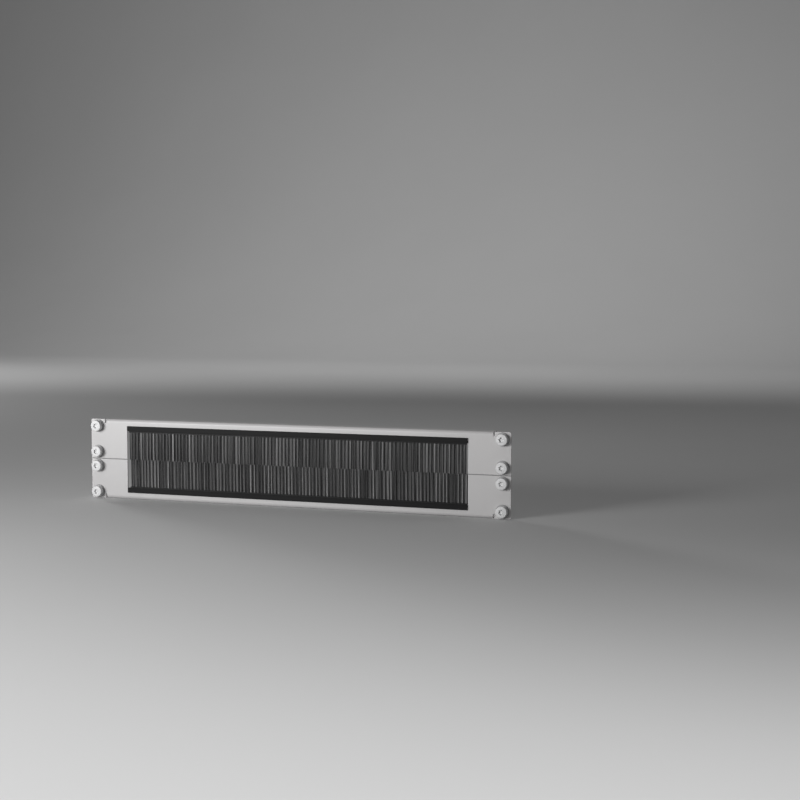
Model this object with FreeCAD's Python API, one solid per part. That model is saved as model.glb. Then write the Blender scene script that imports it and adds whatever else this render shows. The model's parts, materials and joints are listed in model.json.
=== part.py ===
import FreeCAD, Part
import math
import os
from FreeCAD import Vector

# Two-part cable pass-through panel for a 19-inch rack, two units high, in millimetres.
# Two sheet plates meet at a seam. Each has a notch whose long edge carries a strip brush,
# so that leads laid between the halves pass out through two facing rows of bristles.
# X runs along the panel, Y from its front to its rear, and Z is up. The origin is the
# middle of the screw pattern on the plane where the plates lie against the rack's rails.

# Plates
panel_width = 482.6
panel_height = 88.1
seam_gap = 0.8
sheet = 1.5
plate_corner_radius = 2.0

# Flange rolled back along each outer long edge, between the rails
flange_end_inset = 18.8
flange_depth = 16.0
flange_corner_radius = 3.0
bend_inner_radius = 2.0
relief_width = 1.6
relief_depth = 1.0

# Slotted rack holes, on the rails' own hole columns and rows
hole_end_inset = 8.75
inner_hole_height = 7.9375
outer_hole_inset = 7.5375
slot_length = 10.2
slot_width = 6.8

# Plate left beside and beyond each notch
cheek_width = 45.1
band_height = 9.85

# H-section holder pushed onto the long edge of a notch
holder_end_clearance = 0.45
holder_leg = 1.2
holder_web = 0.8
holder_edge_chamfer = 0.3
grip_depth = 2.8
grip_clearance = 0.05

# Folded channel of the strip brush, seated in the holder
channel_width = 2.6
channel_height = 3.4
channel_wall = 0.4
channel_shoulder = 0.5
channel_seat_depth = 1.95
channel_clearance = 0.05

# Strip brushes are shorter than the notch by their play, and each has slid to its right-hand gap
strip_play = 4.4
upper_strip_gap = 1.75
lower_strip_gap = 0.3

# Core wire, and the bristle roots folded over it
core_diameter = 0.9
core_cover = 0.35
root_clearance = 0.05
root_setback = 0.5

# Tufts, which stand in the channel's mouth and reach to the seam
tufts_per_brush = 97
groups_per_brush = 7
tuft_end_setback = 0.15
tuft_root_gap = 1.0
tuft_root_thickness = 1.2
tuft_root_entry = 0.05
tuft_tip_gap = 0.3
tuft_tip_thickness = 3.2
tuft_corner_slope = 0.5
facing_gap = 0.5

# M6 pan-head screws and their washers
screw_diameter = 6.0
screw_length = 16.0
neck_diameter = 5.4
head_diameter = 12.0
head_height = 4.6
head_crown_diameter = 10.6
head_crown_height = 0.8
recess_diameter = 5.5
recess_root_diameter = 4.0
recess_lobes = 6
recess_depth = 2.4
washer_diameter = 14.0
washer_thickness = 1.6
washer_hole_clearance = 0.2

# Places that follow from the sizes
face_front = -sheet
sheet_middle = face_front / 2
half_width = panel_width / 2
half_height = panel_height / 2
bend_outer_radius = bend_inner_radius + sheet
bend_line = half_height - bend_outer_radius
bend_rear = face_front + bend_outer_radius
flange_rear = face_front + flange_depth
flange_length = panel_width - 2 * flange_end_inset
hole_column = half_width - hole_end_inset
hole_rows = (inner_hole_height, half_height - outer_hole_inset)
notch_side = half_width - cheek_width
notch_edge = half_height - band_height
holder_length = 2 * (notch_side - holder_end_clearance)
channel_length = 2 * notch_side - strip_play
upper_slide = strip_play / 2 - upper_strip_gap
lower_slide = strip_play / 2 - lower_strip_gap
web_outer = notch_edge - grip_clearance
web_inner = web_outer - holder_web
leg_outer = web_outer + grip_depth
leg_inner = web_inner - channel_seat_depth
channel_roof = web_inner - channel_clearance
channel_mouth = channel_roof - channel_height
channel_inner_half = channel_width / 2 - channel_wall
core_height = channel_roof - channel_wall - core_cover - core_diameter / 2
tuft_pitch = (channel_length - 2 * tuft_end_setback + tuft_tip_gap) / tufts_per_brush
tuft_root_width = tuft_pitch - tuft_root_gap
tuft_tip_width = tuft_pitch - tuft_tip_gap
washer_front = face_front - washer_thickness
head_front = washer_front - head_height
screw_tip = washer_front + screw_length
same_place = 0.001


# Polygon of (y, z) points about the sheet's middle plane, drawn out along X
def strip(profile, length):
    corners = [Vector(-length / 2, sheet_middle + y, z) for y, z in profile]
    face = Part.Face(Part.makePolygon(corners + corners[:1]))
    return face.extrude(Vector(length, 0, 0))


# Strip whose section is the given front half and the same turned to the rear
def folded_strip(front_half, length):
    rear_half = [(-y, z) for y, z in reversed(front_half)]
    return strip(front_half + rear_half, length)


# Edges whose middle lies at the given distances from the origin, None for any distance
def edges_at(shape, x=None, y=None, z=None):
    def fits(edge):
        middle = edge.CenterOfMass
        wanted = ((x, abs(middle.x)), (y, middle.y), (z, middle.z))
        return all(place is None or abs(place - found) < same_place for place, found in wanted)
    return [edge for edge in shape.Edges if fits(edge)]


# Flat plate with its notch, its end tabs and the reliefs beside the bend
def flat_plate():
    seam = seam_gap / 2
    flange_end = flange_length / 2
    tab_edge = flange_end + relief_width
    relief_floor = bend_line - relief_depth
    right_side = [
        (notch_side, notch_edge),
        (notch_side, seam),
        (half_width, seam),
        (half_width, half_height),
        (tab_edge, half_height),
        (tab_edge, relief_floor),
        (flange_end, relief_floor),
        (flange_end, bend_line),
    ]
    left_side = [(-x, z) for x, z in reversed(right_side)]
    outline = [Vector(x, face_front, z) for x, z in right_side + left_side]
    plate = Part.Face(Part.makePolygon(outline + outline[:1])).extrude(Vector(0, sheet, 0))
    return plate.makeFillet(plate_corner_radius, edges_at(plate, x=half_width, z=half_height))


# Quarter-round bend and the flange behind it
def rolled_flange():
    start = -flange_length / 2
    slant = math.sqrt(0.5)

    def on_bend(radius):
        return Vector(start, bend_rear - slant * radius, bend_line + slant * radius)

    front_foot = Vector(start, face_front, bend_line)
    rear_foot = Vector(start, 0, bend_line)
    top_start = Vector(start, bend_rear, half_height)
    top_end = Vector(start, flange_rear, half_height)
    under_end = Vector(start, flange_rear, half_height - sheet)
    under_start = Vector(start, bend_rear, half_height - sheet)
    profile = Part.Wire([
        Part.Arc(front_foot, on_bend(bend_outer_radius), top_start).toShape(),
        Part.makeLine(top_start, top_end),
        Part.makeLine(top_end, under_end),
        Part.makeLine(under_end, under_start),
        Part.Arc(under_start, on_bend(bend_inner_radius), rear_foot).toShape(),
        Part.makeLine(rear_foot, front_foot),
    ])
    flange = Part.Face(profile).extrude(Vector(flange_length, 0, 0))
    rear_corners = edges_at(flange, x=flange_length / 2, y=flange_rear)
    return flange.makeFillet(flange_corner_radius, rear_corners)


# Round-ended slot through the sheet
def rack_slot(x, z):
    reach = (slot_length - slot_width) / 2
    through = Vector(0, sheet, 0)
    slot = Part.makeBox(2 * reach, sheet, slot_width, Vector(x - reach, face_front, z - slot_width / 2))
    for end in (x - reach, x + reach):
        slot = slot.fuse(Part.makeCylinder(slot_width / 2, sheet, Vector(end, face_front, z), through))
    return slot


def screw_places():
    return [(x, z) for x in (-hole_column, hole_column) for z in hole_rows]


def plate():
    shape = flat_plate().fuse(rolled_flange()).removeSplitter()
    return shape.cut([rack_slot(x, z) for x, z in screw_places()])


def brush_holder():
    grip_half = sheet / 2 + grip_clearance
    outer_half = grip_half + holder_leg
    seat_half = channel_width / 2 + channel_clearance
    front_half = [
        (-seat_half, web_inner),
        (-seat_half, leg_inner),
        (-outer_half, leg_inner),
        (-outer_half, leg_outer),
        (-grip_half, leg_outer),
        (-grip_half, web_outer),
    ]
    holder = folded_strip(front_half, holder_length)
    long_edges = []
    for y in (sheet_middle - outer_half, sheet_middle + outer_half):
        for z in (leg_inner, leg_outer):
            long_edges += edges_at(holder, x=0, y=y, z=z)
    return holder.makeChamfer(holder_edge_chamfer, long_edges)


def brush_channel():
    outer_half = channel_width / 2
    front_half = [
        (-channel_inner_half, channel_roof - channel_wall),
        (-channel_inner_half, channel_mouth),
        (-outer_half, channel_mouth),
        (-outer_half, channel_roof - channel_shoulder),
        (channel_shoulder - outer_half, channel_roof),
    ]
    return folded_strip(front_half, channel_length)


def core_wire():
    start = Vector(-channel_length / 2, sheet_middle, core_height)
    return Part.makeCylinder(core_diameter / 2, channel_length, start, Vector(1, 0, 0))


def bristle_roots():
    core_half = core_diameter / 2 + root_clearance
    outer_half = channel_inner_half - root_clearance
    front_half = [
        (-core_half, core_height + core_half),
        (-core_half, channel_mouth + root_setback),
        (-outer_half, channel_mouth + root_setback),
        (-outer_half, channel_roof - channel_wall - root_clearance),
    ]
    return folded_strip(front_half, channel_length)


# Six-sided ring of points round a tuft
def tuft_ring(x, z, width, thickness):
    side = width / 2
    depth = thickness / 2
    flat = side - depth * tuft_corner_slope
    corners = [(side, 0), (flat, depth), (-flat, depth), (-side, 0), (-flat, -depth), (flat, -depth)]
    return [Vector(x + dx, sheet_middle + dy, z) for dx, dy in corners]


# Bundle of bristles that flares from the channel's mouth to its cut tips, with flat sides
def tuft(x):
    tips = tuft_ring(x, facing_gap / 2, tuft_tip_width, tuft_tip_thickness)
    root = tuft_ring(x, channel_mouth + tuft_root_entry, tuft_root_width, tuft_root_thickness)
    outlines = [tips, root]
    for corner in range(len(tips)):
        outlines.append([tips[corner - 1], tips[corner], root[corner], root[corner - 1]])
    faces = [Part.Face(Part.makePolygon(outline + outline[:1])) for outline in outlines]
    solid = Part.Solid(Part.Shell(faces))
    if solid.Volume < 0:
        solid.reverse()
    return solid


# The groups share the tufts out as evenly as they can
def tuft_group(group):
    first = round(group * tufts_per_brush / groups_per_brush)
    beyond = round((group + 1) * tufts_per_brush / groups_per_brush)
    middle = (tufts_per_brush - 1) / 2
    return Part.makeCompound([tuft((number - middle) * tuft_pitch) for number in range(first, beyond)])


# Six-lobed driving recess with flat walls
def recess(x, z):
    outline = []
    for corner in range(2 * recess_lobes):
        turn = math.pi * corner / recess_lobes
        radius = (recess_root_diameter if corner % 2 else recess_diameter) / 2
        outline.append(Vector(x + math.cos(turn) * radius, head_front, z + math.sin(turn) * radius))
    return Part.Face(Part.makePolygon(outline + outline[:1])).extrude(Vector(0, recess_depth, 0))


# Turned screw, with a neck where it passes through the washer and the plate
def rack_screw(x, z):
    outline = [
        (0, head_front),
        (head_crown_diameter / 2, head_front),
        (head_diameter / 2, head_front + head_crown_height),
        (head_diameter / 2, washer_front),
        (neck_diameter / 2, washer_front),
        (neck_diameter / 2, 0),
        (screw_diameter / 2, 0),
        (screw_diameter / 2, screw_tip),
        (0, screw_tip),
    ]
    points = [Vector(x + radius, y, z) for radius, y in outline]
    face = Part.Face(Part.makePolygon(points + points[:1]))
    return face.revolve(Vector(x, 0, z), Vector(0, 1, 0), 360).cut(recess(x, z))


def washer(x, z):
    inward = Vector(0, 1, 0)
    front = Vector(x, washer_front, z)
    disc = Part.makeCylinder(washer_diameter / 2, washer_thickness, front, inward)
    hole = Part.makeCylinder(screw_diameter / 2 + washer_hole_clearance, washer_thickness, front, inward)
    return disc.cut(hole)


# Pieces of a strip brush, slid along its holder
def strip_brush(slide):
    pieces = {
        "brush_channel": brush_channel(),
        "core_wire": core_wire(),
        "bristle_roots": bristle_roots(),
    }
    for group in range(groups_per_brush):
        pieces[f"bristles_{group + 1}"] = tuft_group(group)
    return {name: shape.translated(Vector(slide, 0, 0)) for name, shape in pieces.items()}


# Pieces of one half, drawn as the upper one
def half_pieces(slide):
    fixed = {
        "plate": plate(),
        "brush_holder": brush_holder(),
        "rack_screws": Part.makeCompound([rack_screw(x, z) for x, z in screw_places()]),
        "washers": Part.makeCompound([washer(x, z) for x, z in screw_places()]),
    }
    return {**fixed, **strip_brush(slide)}


os.makedirs("parts", exist_ok=True)
for name, shape in half_pieces(upper_slide).items():
    shape.exportStep(f"parts/upper_{name}.step")
for name, shape in half_pieces(lower_slide).items():
    turned_over = shape.mirror(Vector(0, 0, 0), Vector(0, 0, 1))
    turned_over.exportStep(f"parts/lower_{name}.step")
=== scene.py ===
import json
import math
import random

import bmesh
import bpy
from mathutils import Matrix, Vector

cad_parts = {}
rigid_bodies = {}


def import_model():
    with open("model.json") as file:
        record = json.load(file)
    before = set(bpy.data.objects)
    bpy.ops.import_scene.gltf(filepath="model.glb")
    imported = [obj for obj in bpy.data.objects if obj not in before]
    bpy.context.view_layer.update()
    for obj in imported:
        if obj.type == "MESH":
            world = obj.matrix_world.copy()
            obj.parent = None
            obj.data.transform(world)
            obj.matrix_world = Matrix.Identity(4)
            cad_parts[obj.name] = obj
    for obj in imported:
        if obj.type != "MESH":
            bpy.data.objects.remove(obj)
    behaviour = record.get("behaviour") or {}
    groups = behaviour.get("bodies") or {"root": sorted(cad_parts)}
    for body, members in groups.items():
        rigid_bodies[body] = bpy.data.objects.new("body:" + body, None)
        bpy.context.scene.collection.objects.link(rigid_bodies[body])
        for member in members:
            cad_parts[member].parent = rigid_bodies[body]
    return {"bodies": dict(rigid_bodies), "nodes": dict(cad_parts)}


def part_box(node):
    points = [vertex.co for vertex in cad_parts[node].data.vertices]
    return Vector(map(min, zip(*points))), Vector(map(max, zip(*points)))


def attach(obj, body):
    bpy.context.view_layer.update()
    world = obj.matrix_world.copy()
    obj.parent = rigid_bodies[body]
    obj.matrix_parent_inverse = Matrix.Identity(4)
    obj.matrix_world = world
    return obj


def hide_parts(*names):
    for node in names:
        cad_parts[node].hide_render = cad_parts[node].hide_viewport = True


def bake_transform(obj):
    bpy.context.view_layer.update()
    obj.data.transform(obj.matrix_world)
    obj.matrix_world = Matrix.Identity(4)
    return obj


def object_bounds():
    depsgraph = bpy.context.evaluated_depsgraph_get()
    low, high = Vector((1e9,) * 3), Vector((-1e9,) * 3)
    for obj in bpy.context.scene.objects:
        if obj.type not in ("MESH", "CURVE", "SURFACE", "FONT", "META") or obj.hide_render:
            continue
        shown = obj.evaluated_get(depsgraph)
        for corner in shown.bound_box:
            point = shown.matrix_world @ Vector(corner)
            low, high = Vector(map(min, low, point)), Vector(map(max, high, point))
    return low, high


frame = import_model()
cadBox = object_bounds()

mm = 0.001
fullTurn = 2 * math.pi
halves = {"upper": 1, "lower": -1}  # the way each half reaches from the seam
tuftPitch = 4.0 * mm
print("frame loaded:", len(frame["nodes"]), "nodes")


# small helpers for materials

noiseLow = 0.25  # most of a noise's values lie between these two
noiseHigh = 0.75


def newMaterial(name):
    material = bpy.data.materials.new(name)
    material.use_nodes = True
    tree = material.node_tree
    return material, tree, tree.nodes["Principled BSDF"]


def addNode(tree, kind, inputs=None, **settings):
    node = tree.nodes.new(kind)
    for key, value in settings.items():
        setattr(node, key, value)
    for key, value in (inputs or {}).items():
        node.inputs[key].default_value = value
    return node


# noise on the piece's own coordinates, stretched by the mapping's scale
def addNoise(tree, scale, stretch=(1, 1, 1), detail=3):
    place = addNode(tree, "ShaderNodeTexCoord")
    mapping = addNode(tree, "ShaderNodeMapping", {"Scale": stretch})
    grain = addNode(tree, "ShaderNodeTexNoise", {"Scale": scale, "Detail": detail})
    tree.links.new(place.outputs["Object"], mapping.inputs["Vector"])
    tree.links.new(mapping.outputs["Vector"], grain.inputs["Vector"])
    return grain.outputs["Fac"]


# colour between the finish's dark and light
def linkColour(tree, shader, value, finish):
    mix = addNode(tree, "ShaderNodeMix", data_type="RGBA")
    mix.inputs["A"].default_value = (*finish["dark"], 1)
    mix.inputs["B"].default_value = (*finish["light"], 1)
    tree.links.new(value, mix.inputs["Factor"])
    tree.links.new(mix.outputs["Result"], shader.inputs["Base Color"])


def linkRoughness(tree, shader, value, finish):
    spread = addNode(tree, "ShaderNodeMapRange", {
        "From Min": noiseLow,
        "From Max": noiseHigh,
        "To Min": finish["roughLow"],
        "To Max": finish["roughHigh"],
    })
    tree.links.new(value, spread.inputs["Value"])
    tree.links.new(spread.outputs["Result"], shader.inputs["Roughness"])


def linkBump(tree, shader, value, finish):
    bump = addNode(tree, "ShaderNodeBump", {
        "Strength": finish["bumpStrength"],
        "Distance": finish["bumpHeight"],
    })
    tree.links.new(value, bump.inputs["Height"])
    tree.links.new(bump.outputs["Normal"], shader.inputs["Normal"])


# small helpers for pieces

mergeDistance = 0.002 * mm
flatAngle = math.radians(1)  # faces that meet at less become one
sharpAngle = math.radians(30)  # edges that turn by more are rounded
roundProfile = 0.5
largeFaceWeight = 90


def vertsOf(geometry):
    return [item for item in geometry if isinstance(item, bmesh.types.BMVert)]


def edgesOf(geometry):
    return [item for item in geometry if isinstance(item, bmesh.types.BMEdge)]


def asMesh(bm, name):
    mesh = bpy.data.meshes.new(name)
    bm.to_mesh(mesh)
    bm.free()
    return mesh


# without an angle the mesh keeps the hard edges that it has
def makePiece(bm, name, material, smoothAngle):
    mesh = asMesh(bm, name)
    mesh.shade_smooth()
    if smoothAngle:
        mesh.set_sharp_from_angle(angle=math.radians(smoothAngle))
    mesh.materials.append(material)
    piece = bpy.data.objects.new(name, mesh)
    bpy.context.scene.collection.objects.link(piece)
    return piece


# keeps the flats flat beside the rounded edges
def evenNormals(piece):
    weighted = piece.modifiers.new("evenNormals", "WEIGHTED_NORMAL")
    weighted.keep_sharp = True
    weighted.weight = largeFaceWeight


# stands a piece in for its solid, fixed to the panel
def fixToPanel(piece, node):
    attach(piece, "panel")
    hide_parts(node)


# copy of a solid with its sharp edges rounded over
def roundedCopy(node, radius, steps):
    bm = bmesh.new()
    bm.from_mesh(frame["nodes"][node].data)
    bmesh.ops.remove_doubles(bm, verts=bm.verts, dist=mergeDistance)
    bmesh.ops.dissolve_limit(bm, angle_limit=flatAngle, verts=bm.verts, edges=bm.edges)
    closed = [edge for edge in bm.edges if edge.is_manifold]
    sharp = [edge for edge in closed if edge.calc_face_angle() > sharpAngle]
    bmesh.ops.bevel(bm, geom=sharp, offset=radius, affect="EDGES", segments=steps,
                    profile=roundProfile, material=-1, clamp_overlap=True)
    return bm


# plates in satin light grey powder coat

plateFinish = {
    "dark": (0.545, 0.537, 0.537),
    "light": (0.59, 0.58, 0.58),
    "cloudsPerMetre": 14,
    "grainPerMetre": 1500,
    "grainDetail": 2,
    "roughLow": 0.36,
    "roughHigh": 0.46,
    "bumpStrength": 0.35,
    "bumpHeight": 0.02 * mm,
    "edgeRadius": 0.3 * mm,
    "edgeSteps": 3,
    "smoothAngle": 35,
}


def plateMaterial():
    material, tree, shader = newMaterial("platePaint")
    cloud = addNoise(tree, plateFinish["cloudsPerMetre"])
    grain = addNoise(tree, plateFinish["grainPerMetre"], detail=plateFinish["grainDetail"])
    linkColour(tree, shader, cloud, plateFinish)
    linkRoughness(tree, shader, grain, plateFinish)
    linkBump(tree, shader, grain, plateFinish)
    return material


paint = plateMaterial()
for half in halves:
    node = half + "_plate"
    bm = roundedCopy(node, plateFinish["edgeRadius"], plateFinish["edgeSteps"])
    plate = makePiece(bm, half + "_face", paint, plateFinish["smoothAngle"])
    evenNormals(plate)
    fixToPanel(plate, node)
print("plates done")


# black holders pushed onto the notch edges

holderFinish = {
    "dark": (0.006, 0.006, 0.0063),
    "light": (0.011, 0.011, 0.0115),
    "linesPerMetre": 2600,
    "lineStretch": (0.004, 1, 1),  # drawn out along the strip
    "roughLow": 0.5,
    "roughHigh": 0.66,
    "gloss": 0.15,
    "bumpStrength": 0.5,
    "bumpHeight": 0.015 * mm,
    "edgeRadius": 0.12 * mm,
    "edgeSteps": 2,
    "smoothAngle": 35,
}


def holderMaterial():
    material, tree, shader = newMaterial("holderPlastic")
    lines = addNoise(tree, holderFinish["linesPerMetre"], holderFinish["lineStretch"])
    linkColour(tree, shader, lines, holderFinish)
    linkRoughness(tree, shader, lines, holderFinish)
    linkBump(tree, shader, lines, holderFinish)
    shader.inputs["Specular IOR Level"].default_value = holderFinish["gloss"]
    return material


holderPlastic = holderMaterial()
for half in halves:
    node = half + "_brush_holder"
    bm = roundedCopy(node, holderFinish["edgeRadius"], holderFinish["edgeSteps"])
    holder = makePiece(bm, half + "_holder", holderPlastic, holderFinish["smoothAngle"])
    evenNormals(holder)
    fixToPanel(holder, node)
print("holders done")


# folded channels in black lacquered steel, pinched once per tuft

channelShape = {
    "wall": 0.4 * mm,
    "shoulder": 0.5 * mm,
    "pinchDepth": 0.22 * mm,
    "pinchHeight": 0.75 * mm,  # above the mouth
    "pinchTop": 1.6 * mm,
    "pinchShare": 0.4,  # of a tuft's pitch
    "smoothAngle": 50,
    "dark": (0.006, 0.006, 0.006),
    "light": (0.014, 0.014, 0.0145),
    "specksPerMetre": 900,
    "roughLow": 0.45,
    "roughHigh": 0.6,
    "gloss": 0.2,
}


def channelMaterial():
    material, tree, shader = newMaterial("channelSteel")
    specks = addNoise(tree, channelShape["specksPerMetre"])
    linkColour(tree, shader, specks, channelShape)
    linkRoughness(tree, shader, specks, channelShape)
    shader.inputs["Specular IOR Level"].default_value = channelShape["gloss"]
    return material


# section points as (y, z) from the middle of the roof down, for an upper brush
def channelSection(width, height):
    side = width / 2
    inner = side - channelShape["wall"]
    front = [
        (-inner, -channelShape["wall"]),
        (-inner, channelShape["pinchTop"] - height),
        (-inner, channelShape["pinchHeight"] - height),
        (-inner, -height),
        (-side, -height),
        (-side, channelShape["pinchHeight"] - height),
        (-side, channelShape["pinchTop"] - height),
        (-side, -channelShape["shoulder"]),
        (channelShape["shoulder"] - side, 0),
    ]
    return front + [(-y, z) for y, z in reversed(front)]


def foldedChannel(node, side):
    low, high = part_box(node)
    middle = (low.y + high.y) / 2
    height = high.z - low.z
    roof = high.z if side > 0 else low.z
    section = channelSection(high.y - low.y, height)
    pinchZ = channelShape["pinchHeight"] - height
    pinched = [index for index, (y, z) in enumerate(section) if math.isclose(z, pinchZ)]
    bm = bmesh.new()
    ring = [bm.verts.new((low.x, middle + y, roof + side * z)) for y, z in section]
    end = bm.faces.new(ring)
    tuftCount = round((high.x - low.x) / tuftPitch)
    pitch = (high.x - low.x) / tuftCount
    pinch = pitch * channelShape["pinchShare"]
    steps = [(pitch - pinch) / 2, pinch / 2, pinch / 2, (pitch - pinch) / 2]
    for tuft in range(tuftCount):
        for station, step in enumerate(steps):
            grown = bmesh.ops.extrude_face_region(bm, geom=[end])["geom"]
            bmesh.ops.translate(bm, verts=vertsOf(grown), vec=(step, 0, 0))
            bm.faces.remove(end)
            end = next(item for item in grown if isinstance(item, bmesh.types.BMFace))
            # the second ring of a pitch is pushed in, and the third comes back out
            for index in pinched:
                corner = end.verts[index]
                inward = -math.copysign(channelShape["pinchDepth"], corner.co.y - middle)
                if station == 1:
                    corner.co.y += inward
                if station == 2:
                    corner.co.y -= inward
    openEdges = [edge for edge in bm.edges if edge.is_boundary]
    bmesh.ops.holes_fill(bm, edges=openEdges, sides=len(section))
    bmesh.ops.recalc_face_normals(bm, faces=bm.faces)
    return bm


channelSteel = channelMaterial()
for half, side in halves.items():
    node = half + "_brush_channel"
    bm = foldedChannel(node, side)
    channel = makePiece(bm, half + "_channel", channelSteel, channelShape["smoothAngle"])
    fixToPanel(channel, node)
print("channels done")


# bristles, one piece for each group of tufts

bristleShape = {
    "sides": 3,
    "rootRadius": 0.16 * mm,
    "tipRadius": 0.12 * mm,
    "cuts": 6,
    "rootCover": 0.6 * mm,  # hidden in the channel's mouth
    "tipLow": -0.2 * mm,  # past the seam
    "tipHigh": 0.4 * mm,
    "bow": 0.1 * mm,
    "stagger": (0.75, 0.25),  # of a column, for even and odd rows
    "clumps": 4,
    "paintedSideShade": 0.9,  # painted shade: how soon a bundle darkens towards its sides
    "tuftRarity": 2,  # the higher, the fewer light tufts
    "clumpDark": 0.5,
    "clumpLight": 1.6,  # few clumps come near this
    "clumpRarity": 3,
    "strandDark": 0.6,
    "strandLight": 1.4,
    "dark": (0.008, 0.008, 0.0085),
    "light": (0.41, 0.408, 0.41),
    "grainPerMetre": 3000,
    "grainStretch": (1, 1, 0.05),
    "roughLow": 0.34,
    "roughHigh": 0.5,
    "gloss": 0.3,
}

# a tuft is a round bundle with painted shade darkening it towards its sides, with a thin curtain,
# near black as painted shade, that closes the gap to the next one
bundle = {
    "columns": 12,
    "rows": 4,
    "rootSide": 1.25 * mm,
    "tipSide": 1.4 * mm,
    "rootDepth": 0.6 * mm,
    "tipDepth": 0.9 * mm,
    "roundness": 0.92,
    "jitter": 0.1 * mm,
    "clumpLean": 0.1 * mm,
    "clumpDepth": 0.15 * mm,
    "toneLow": 0.36,
    "toneHigh": 0.85,
    # painted highlight: how far the lit crest strays from the tuft's middle
    "paintedCrestShift": 0.25,
}
curtain = {
    "columns": 16,
    "rows": 2,
    "rootSide": 1.9 * mm,
    "tipSide": 1.9 * mm,
    "rootDepth": 0.15 * mm,
    "tipDepth": 0.4 * mm,
    "roundness": 0,
    "jitter": 0.04 * mm,
    "clumpLean": 0,
    "clumpDepth": 0,
    # near-black tone: painted shade in the gaps between the bundles
    "toneLow": 0,
    "toneHigh": 0.12,
    "paintedCrestShift": 0,
}


def bristleMaterial():
    material, tree, shader = newMaterial("bristleNylon")
    # the tone attribute holds random tone and painted shade together
    tone = addNode(tree, "ShaderNodeAttribute", attribute_name="tone")
    grain = addNoise(tree, bristleShape["grainPerMetre"], bristleShape["grainStretch"])
    linkColour(tree, shader, tone.outputs["Fac"], bristleShape)
    linkRoughness(tree, shader, grain, bristleShape)
    shader.inputs["Specular IOR Level"].default_value = bristleShape["gloss"]
    return material


# one bristle of unit length, root at the bottom, with hard edges at its cut ends
def bristleBlank():
    bm = bmesh.new()
    bmesh.ops.create_cone(bm, cap_ends=True, segments=bristleShape["sides"],
                          radius1=bristleShape["rootRadius"],
                          radius2=bristleShape["tipRadius"], depth=1)
    bmesh.ops.translate(bm, verts=bm.verts, vec=(0, 0, 0.5))
    long = [edge for edge in bm.edges if edge.verts[0].co.z != edge.verts[1].co.z]
    for edge in set(bm.edges) - set(long):
        edge.smooth = False
    bmesh.ops.subdivide_edges(bm, edges=long, cuts=bristleShape["cuts"], use_grid_fill=True)
    return asMesh(bm, "bristleBlank")


def layBristle(bm, blank, root, tip, bow, turn):
    first = len(bm.verts)
    bm.from_mesh(blank)
    bm.verts.ensure_lookup_table()
    cosTurn, sinTurn = math.cos(turn), math.sin(turn)
    for vert in bm.verts[first:]:
        x, y, along = vert.co
        place = root.lerp(tip, along) + bow * math.sin(math.pi * along)
        vert.co = place + Vector((x * cosTurn - y * sinTurn, x * sinTurn + y * cosTurn, 0))


# clumps of one tuft, each with its lean and tone, and where across the tuft the painted crest
# highlight sits
def drawClumps(layout, chance):
    shape = bristleShape
    span = layout["toneHigh"] - layout["toneLow"]
    tuftTone = layout["toneLow"] + span * chance.random() ** shape["tuftRarity"]
    paintedCrest = chance.uniform(-1, 1) * layout["paintedCrestShift"]
    clumps = []
    for clump in range(shape["clumps"]):
        lean = chance.uniform(-1, 1) * layout["clumpLean"]
        depth = chance.uniform(-1, 1) * layout["clumpDepth"]
        lift = shape["clumpLight"] * chance.random() ** shape["clumpRarity"]
        tone = tuftTone * (shape["clumpDark"] + lift)
        clumps.append({"lean": lean, "depth": depth, "tone": tone})
    return clumps, paintedCrest


# lays the bristles of a bundle or a curtain and returns how light each one is, random tone times
# painted shade towards the bundle's sides
def layBristles(bm, blank, layout, centre, rootZ, side, chance):
    shape = bristleShape
    limit = tuftPitch / 2 - shape["rootRadius"]
    jitter = layout["jitter"]
    clumps, paintedCrest = drawClumps(layout, chance)
    tones = []
    for column in range(layout["columns"]):
        for row in range(layout["rows"]):
            across = (column + shape["stagger"][row % 2]) / layout["columns"] * 2 - 1
            clump = clumps[int((across + 1) / 2 * shape["clumps"])]
            bulge = math.sqrt(1 - (layout["roundness"] * across) ** 2)
            layer = ((row + 0.5) / layout["rows"] * 2 - 1) * bulge
            rootX = across * layout["rootSide"] + chance.uniform(-1, 1) * jitter
            tipX = across * layout["tipSide"] + clump["lean"] + chance.uniform(-1, 1) * jitter
            rootX, tipX = (max(-limit, min(limit, x)) for x in (rootX, tipX))
            tipY = layer * layout["tipDepth"] + clump["depth"] + chance.uniform(-1, 1) * jitter
            tipZ = side * chance.uniform(shape["tipLow"], shape["tipHigh"])
            root = Vector((centre.x + rootX, centre.y + layer * layout["rootDepth"], rootZ))
            tip = Vector((centre.x + tipX, centre.y + tipY, tipZ))
            bow = Vector((0, chance.uniform(-1, 1) * shape["bow"], 0))
            layBristle(bm, blank, root, tip, bow, chance.uniform(0, fullTurn))
            # painted shade, darkest away from the lit crest
            paintedShade = max(0, 1 - (across - paintedCrest) ** 2) ** shape["paintedSideShade"]
            strand = chance.uniform(shape["strandDark"], shape["strandLight"])
            tones.append(min(1, clump["tone"] * paintedShade * strand))
    return tones


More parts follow.
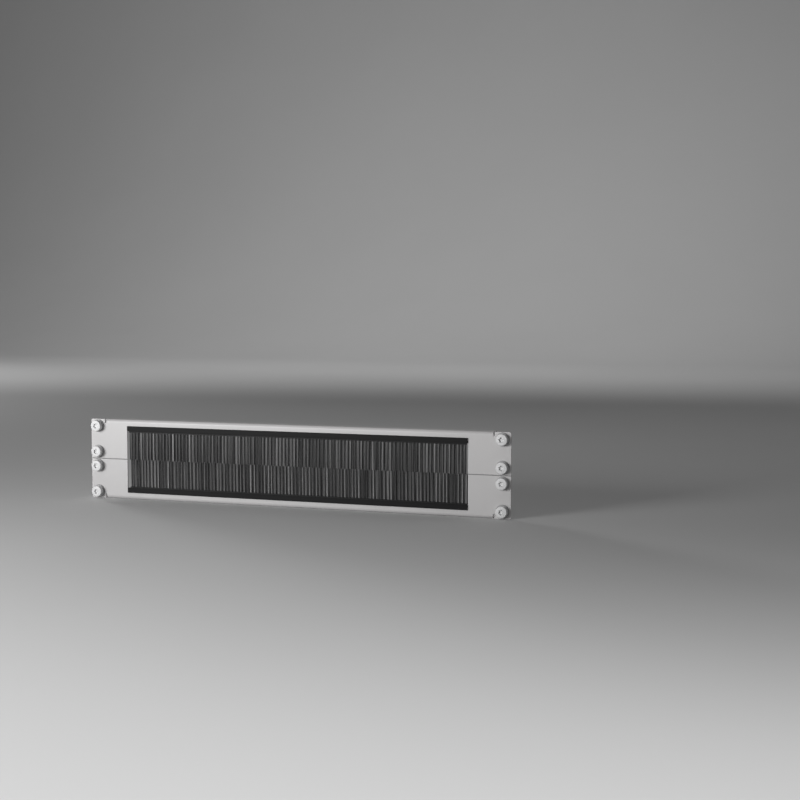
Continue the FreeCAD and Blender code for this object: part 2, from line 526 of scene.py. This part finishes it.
def bristleGroup(node, side, blank, material, chance):
    low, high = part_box(node)
    mouth = high.z if side > 0 else low.z
    rootZ = mouth + side * bristleShape["rootCover"]
    tuftCount = round((high.x - low.x) / tuftPitch)
    centre = (low + high) / 2
    bm = bmesh.new()
    tones = []
    for tuft in range(tuftCount):
        spot = Vector((centre.x + (tuft - (tuftCount - 1) / 2) * tuftPitch, centre.y, 0))
        for layout in (bundle, curtain):
            tones += layBristles(bm, blank, layout, spot, rootZ, side, chance)
    # upper bristles hang down, which turns the blank inside out
    if side > 0:
        bmesh.ops.reverse_faces(bm, faces=bm.faces)
    piece = makePiece(bm, node.replace("bristles", "tufts"), material, None)
    perBristle = len(blank.vertices)
    # each bristle's tone, random tone and painted shade together
    tone = piece.data.attributes.new("tone", "FLOAT", "POINT")
    tone.data.foreach_set("value", [value for value in tones for vertex in range(perBristle)])
    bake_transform(piece)
    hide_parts(node)


bristleNylon = bristleMaterial()
blank = bristleBlank()
for half, side in halves.items():
    groups = [body for body in frame["bodies"] if body.startswith(half + "_bristles_")]
    for node in groups:
        bristleGroup(node, side, blank, bristleNylon, random.Random(node))
bpy.data.meshes.remove(blank)
print("bristles done")


# rack screws with a flat pan head, a six-lobed recess and a rolled thread

screwShape = {
    "segments": 48,
    "lobes": 6,
    "recessRadius": 2.4 * mm,
    "lobeDepth": 0.4 * mm,
    "recessDepth": 1.5 * mm,
    "recessChamfer": 0.2 * mm,
    "headRadius": 6.0 * mm,
    "headHeight": 4.6 * mm,
    "crownRadius": 5.3 * mm,  # where the crown turns into the rounded rim
    "crownDrop": 0.1 * mm,
    "rimHeight": 0.7 * mm,
    "rimSteps": 6,
    "neckRadius": 2.7 * mm,
    "coreRadius": 2.42 * mm,
    "threadRadius": 3.0 * mm,
    "threadPitch": 1.0 * mm,
    "threadSteps": 24,
    "threadSink": 0.1 * mm,  # how far the ridge reaches into the core
    "crestStart": 0.44,  # of a pitch
    "crestEnd": 0.56,
    "pointLength": 1.2 * mm,
    "pointTaper": 0.7,  # of the core's radius
    "threadStop": 0.6,  # of the point's length
    "smoothAngle": 40,
    "dark": (0.73, 0.73, 0.735),
    "light": (0.82, 0.82, 0.82),
    "cloudsPerMetre": 900,
    "grainPerMetre": 6000,
    "grainDetail": 2,
    "roughLow": 0.7,
    "roughHigh": 0.84,
    "bumpStrength": 0.2,
    "bumpHeight": 0.01 * mm,
}


def screwMaterial():
    material, tree, shader = newMaterial("screwZinc")
    cloud = addNoise(tree, screwShape["cloudsPerMetre"])
    grain = addNoise(tree, screwShape["grainPerMetre"], detail=screwShape["grainDetail"])
    linkColour(tree, shader, cloud, screwShape)
    linkRoughness(tree, shader, cloud, screwShape)
    linkBump(tree, shader, grain, screwShape)
    shader.inputs["Metallic"].default_value = 1
    return material


# pulls a new ring out of the last one, to a radius and a place along the screw
def nextRing(bm, edges, radius, y):
    grown = bmesh.ops.extrude_edge_only(bm, edges=edges)["geom"]
    for corner in vertsOf(grown):
        corner.co.y = 0
        corner.co = corner.co.normalized() * radius
        corner.co.y = y
    return edgesOf(grown)


# recess from its floor out to the front of the head, which leaves an open ring there
def screwRecess(bm, front):
    shape = screwShape
    bmesh.ops.create_circle(bm, segments=shape["segments"], radius=1, cap_ends=False)
    for corner in bm.verts:
        turn = math.atan2(corner.co.y, corner.co.x)
        radius = shape["recessRadius"] + shape["lobeDepth"] * math.cos(shape["lobes"] * turn)
        corner.co = (math.cos(turn) * radius, front + shape["recessDepth"], math.sin(turn) * radius)
    floorRing = list(bm.edges)
    ring = floorRing
    for y, widen in ((front + shape["recessChamfer"], 0), (front, shape["recessChamfer"])):
        grown = bmesh.ops.extrude_edge_only(bm, edges=ring)["geom"]
        for corner in vertsOf(grown):
            corner.co += Vector((corner.co.x, 0, corner.co.z)).normalized() * widen
            corner.co.y = y
        ring = edgesOf(grown)
    bmesh.ops.holes_fill(bm, edges=floorRing, sides=shape["segments"])
    return ring


# screw on the Y axis, the seat under its head at 0 and its point to the rear
def screwBlank(plateRear, tip):
    shape = screwShape
    front = -shape["headHeight"]
    crown = front + shape["crownDrop"]
    rimWidth = shape["headRadius"] - shape["crownRadius"]
    bm = bmesh.new()
    ring = nextRing(bm, screwRecess(bm, front), shape["crownRadius"], crown)
    for step in range(1, shape["rimSteps"] + 1):
        turn = math.pi / 2 * step / shape["rimSteps"]
        radius = shape["crownRadius"] + rimWidth * math.sin(turn)
        ring = nextRing(bm, ring, radius, crown + shape["rimHeight"] * (1 - math.cos(turn)))
    outline = (
        (shape["headRadius"], 0),
        (shape["neckRadius"], 0),
        (shape["neckRadius"], plateRear),
        (shape["coreRadius"], plateRear + shape["threadPitch"] / 2),
        (shape["coreRadius"], tip - shape["pointLength"]),
        (shape["coreRadius"] * shape["pointTaper"], tip),
    )
    for radius, y in outline:
        ring = nextRing(bm, ring, radius, y)
    bmesh.ops.holes_fill(bm, edges=ring, sides=shape["segments"])
    bmesh.ops.recalc_face_normals(bm, faces=bm.faces)
    addThread(bm, plateRear, tip - shape["pointLength"] * shape["threadStop"])
    return bm


# ridge wound round the core
def addThread(bm, start, end):
    shape = screwShape
    pitch = shape["threadPitch"]
    sunk = shape["coreRadius"] - shape["threadSink"]
    turns = (end - start) / pitch - 1
    ridge = [
        bm.verts.new((sunk, start, 0)),
        bm.verts.new((shape["threadRadius"], start + pitch * shape["crestStart"], 0)),
        bm.verts.new((shape["threadRadius"], start + pitch * shape["crestEnd"], 0)),
        bm.verts.new((sunk, start + pitch, 0)),
    ]
    face = bm.faces.new(ridge)
    before = set(bm.faces)
    bmesh.ops.spin(bm, geom=[face, *face.edges, *ridge], cent=(0, 0, 0), axis=(0, 1, 0),
                   dvec=(0, pitch / shape["threadSteps"], 0), angle=fullTurn * turns,
                   steps=round(shape["threadSteps"] * turns), use_duplicate=False)
    wound = [item for item in bm.faces if item not in before] + [face]
    bmesh.ops.recalc_face_normals(bm, faces=wound)


# copies of a blank, each turned about the Y axis by chance
def placedCopies(blankMesh, places, chance):
    bm = bmesh.new()
    for place in places:
        first = len(bm.verts)
        bm.from_mesh(blankMesh)
        bm.verts.ensure_lookup_table()
        turn = chance.uniform(0, fullTurn)
        cosTurn, sinTurn = math.cos(turn), math.sin(turn)
        for vert in bm.verts[first:]:
            x, y, z = vert.co
            vert.co = Vector((x * cosTurn - z * sinTurn, y, x * sinTurn + z * cosTurn)) + place
    return bm


# centres of the four screws of one half, on the plane under the heads
def screwPlaces(half):
    low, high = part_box(half + "_rack_screws")
    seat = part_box(half + "_washers")[0].y
    radius = screwShape["headRadius"]
    columns = (low.x + radius, high.x - radius)
    rows = (low.z + radius, high.z - radius)
    return [Vector((x, seat, z)) for x in columns for z in rows]


screwZinc = screwMaterial()
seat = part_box("upper_washers")[0].y
screwMesh = asMesh(screwBlank(-seat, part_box("upper_rack_screws")[1].y - seat), "screwBlank")
for half in halves:
    node = half + "_rack_screws"
    bm = placedCopies(screwMesh, screwPlaces(half), random.Random(node))
    screws = makePiece(bm, half + "_screws", screwZinc, screwShape["smoothAngle"])
    fixToPanel(screws, node)
bpy.data.meshes.remove(screwMesh)
print("screws done")


# grey nylon washers with a rounded rim

washerShape = {
    "segments": 56,
    "holeRadius": 3.2 * mm,
    "edgeRadius": 0.45 * mm,
    "edgeSteps": 4,
    "smoothAngle": 40,
    "dark": (0.30, 0.30, 0.305),
    "light": (0.36, 0.36, 0.365),
    "cloudsPerMetre": 500,
    "roughLow": 0.42,
    "roughHigh": 0.56,
}


def washerMaterial():
    material, tree, shader = newMaterial("washerNylon")
    cloud = addNoise(tree, washerShape["cloudsPerMetre"])
    linkColour(tree, shader, cloud, washerShape)
    linkRoughness(tree, shader, cloud, washerShape)
    return material


def washerBlank(outer, thickness):
    bm = bmesh.new()
    inner = washerShape["holeRadius"]
    corners = ((inner, 0), (outer, 0), (outer, thickness), (inner, thickness))
    section = [bm.verts.new((x, y, 0)) for x, y in corners]
    bm.faces.new(section)
    rim = [corner for corner in section if corner.co.y == 0]
    bmesh.ops.bevel(bm, geom=rim, offset=washerShape["edgeRadius"], affect="VERTICES",
                    segments=washerShape["edgeSteps"], profile=roundProfile, material=-1)
    bmesh.ops.spin(bm, geom=[*bm.verts, *bm.edges, *bm.faces], cent=(0, 0, 0), axis=(0, 1, 0),
                   angle=fullTurn, steps=washerShape["segments"], use_merge=True,
                   use_duplicate=False)
    bmesh.ops.remove_doubles(bm, verts=bm.verts, dist=mergeDistance)
    inside = [item for item in bm.faces if not any(edge.is_manifold for edge in item.edges)]
    bmesh.ops.delete(bm, geom=inside, context="FACES_ONLY")
    bmesh.ops.recalc_face_normals(bm, faces=bm.faces)
    return bm


washerNylon = washerMaterial()
washerLow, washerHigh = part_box("upper_washers")
washerRadius = washerHigh.x - screwPlaces("upper")[-1].x
washerMesh = asMesh(washerBlank(washerRadius, washerHigh.y - washerLow.y), "washerBlank")
for half in halves:
    node = half + "_washers"
    bm = placedCopies(washerMesh, screwPlaces(half), random.Random(node))
    washers = makePiece(bm, half + "_rings", washerNylon, washerShape["smoothAngle"])
    fixToPanel(washers, node)
bpy.data.meshes.remove(washerMesh)
print("washers done")


# core wires and bristle roots keep their solids, seen only at the channels' ends

wireFinish = {
    "dark": (0.38, 0.38, 0.39),
    "light": (0.52, 0.52, 0.53),
    "linesPerMetre": 4000,
    "lineStretch": (0.02, 1, 1),
    "roughLow": 0.3,
    "roughHigh": 0.5,
}
rootFinish = {
    "strandsPerMetre": 2500,
    "strandStretch": (1, 1, 0.05),
    "roughness": 0.45,
    "bumpStrength": 0.8,
    "bumpHeight": 0.1 * mm,
}


def wireMaterial():
    material, tree, shader = newMaterial("wireSteel")
    lines = addNoise(tree, wireFinish["linesPerMetre"], wireFinish["lineStretch"])
    linkColour(tree, shader, lines, wireFinish)
    linkRoughness(tree, shader, lines, wireFinish)
    shader.inputs["Metallic"].default_value = 1
    return material


# the roots have the bristles' colours
def rootMaterial():
    material, tree, shader = newMaterial("rootNylon")
    strands = addNoise(tree, rootFinish["strandsPerMetre"], rootFinish["strandStretch"])
    linkColour(tree, shader, strands, bristleShape)
    linkBump(tree, shader, strands, rootFinish)
    shader.inputs["Roughness"].default_value = rootFinish["roughness"]
    return material


innerMaterials = {"_core_wire": wireMaterial(), "_bristle_roots": rootMaterial()}
for half in halves:
    for part, material in innerMaterials.items():
        solid = frame["nodes"][half + part]
        solid.data.materials.clear()
        solid.data.materials.append(material)
print("wires and roots done")


# studio: pale paper sweep and four soft lamps, with little light right behind the panel

studio = {
    "width": 9.0,
    "front": -4.0,
    "back": 3.2,
    "sweepRadius": 1.6,
    "wallHeight": 4.0,
    "sweepSteps": 16,
    "smoothAngle": 60,
    "dark": (0.58, 0.58, 0.58),
    "light": (0.62, 0.62, 0.62),
    "cloudsPerMetre": 2,
    "roughness": 0.9,
    "airLight": 0.15,
}
lamps = {
    "keyLamp": {
        "place": (-0.78, -1.2, 0.3),
        "aim": (-0.1, 0, 0.25),
        "size": (0.7, 0.5),
        "watts": 2.5,
        "spread": 60,
    },
    "rearLamp": {
        "place": (-4.2, 3.0, 0.34),
        "aim": (0, 0, 0.05),
        "size": (1.4, 0.3),
        "watts": 4.2,
        "spread": 26,
    },
    "floorLamp": {
        "place": (0.2, -1.15, 1.3),
        "aim": (0.2, -1.0, 0),
        "size": (2.4, 0.8),
        "watts": 7.5,
        "spread": 60,
    },
    "wallLamp": {
        "place": (-0.9, 1.6, 1.5),
        "aim": (-1.3, 4.0, 0.1),
        "size": (3.0, 1.6),
        "watts": 16,
        "spread": 110,
    },
}


def studioSweep(floorZ):
    bm = bmesh.new()
    half = studio["width"] / 2
    start = bm.edges.new([bm.verts.new((x, studio["front"], floorZ)) for x in (-half, half)])
    grown = bmesh.ops.extrude_edge_only(bm, edges=[start])["geom"]
    corners = vertsOf(grown)
    bmesh.ops.translate(bm, verts=corners, vec=(0, studio["back"] - studio["front"], 0))
    hub = (0, studio["back"], floorZ + studio["sweepRadius"])
    spun = bmesh.ops.spin(bm, geom=edgesOf(grown) + corners, cent=hub, axis=(1, 0, 0),
                          angle=math.pi / 2, steps=studio["sweepSteps"])["geom_last"]
    wall = bmesh.ops.extrude_edge_only(bm, edges=edgesOf(spun))["geom"]
    bmesh.ops.translate(bm, verts=vertsOf(wall), vec=(0, 0, studio["wallHeight"]))
    bmesh.ops.recalc_face_normals(bm, faces=bm.faces)
    return bm


def paperMaterial():
    material, tree, shader = newMaterial("studioPaper")
    cloud = addNoise(tree, studio["cloudsPerMetre"])
    linkColour(tree, shader, cloud, studio)
    shader.inputs["Roughness"].default_value = studio["roughness"]
    return material


def studioAir():
    world = bpy.data.worlds.new("studioAir")
    world.use_nodes = True
    air = world.node_tree.nodes["Background"]
    air.inputs["Color"].default_value = (1, 1, 1, 1)
    air.inputs["Strength"].default_value = studio["airLight"]
    return world


def addLamp(name, lamp):
    data = bpy.data.lights.new(name, "AREA")
    data.shape = "RECTANGLE"
    data.size, data.size_y = lamp["size"]
    data.energy = lamp["watts"]
    data.spread = math.radians(lamp["spread"])
    piece = bpy.data.objects.new(name, data)
    piece.location = lamp["place"]
    beam = Vector(lamp["aim"]) - Vector(lamp["place"])
    piece.rotation_euler = beam.to_track_quat("-Z", "Y").to_euler()
    piece.visible_camera = False
    bpy.context.scene.collection.objects.link(piece)


sweep = studioSweep(cadBox[0].z)
floor = makePiece(sweep, "studioFloor", paperMaterial(), studio["smoothAngle"])
for name, lamp in lamps.items():
    addLamp(name, lamp)
bpy.context.scene.world = studioAir()
print("studio done")


# camera at the photograph's place, level with its frame

view = {
    "place": (0.60575, -1.37280, 0.18118),
    "lens": 63.868,
    "sensor": 36,
    "yaw": 19.391,
    "pitch": -4.231,
}

cameraData = bpy.data.cameras.new("viewCamera")
cameraData.lens = view["lens"]
cameraData.sensor_width = view["sensor"]
camera = bpy.data.objects.new("viewCamera", cameraData)
camera.location = view["place"]
camera.rotation_euler = (math.radians(90 + view["pitch"]), 0, math.radians(view["yaw"]))
bpy.context.scene.collection.objects.link(camera)
bpy.context.scene.camera = camera
bpy.context.scene.view_settings.view_transform = "Standard"
print("camera done")
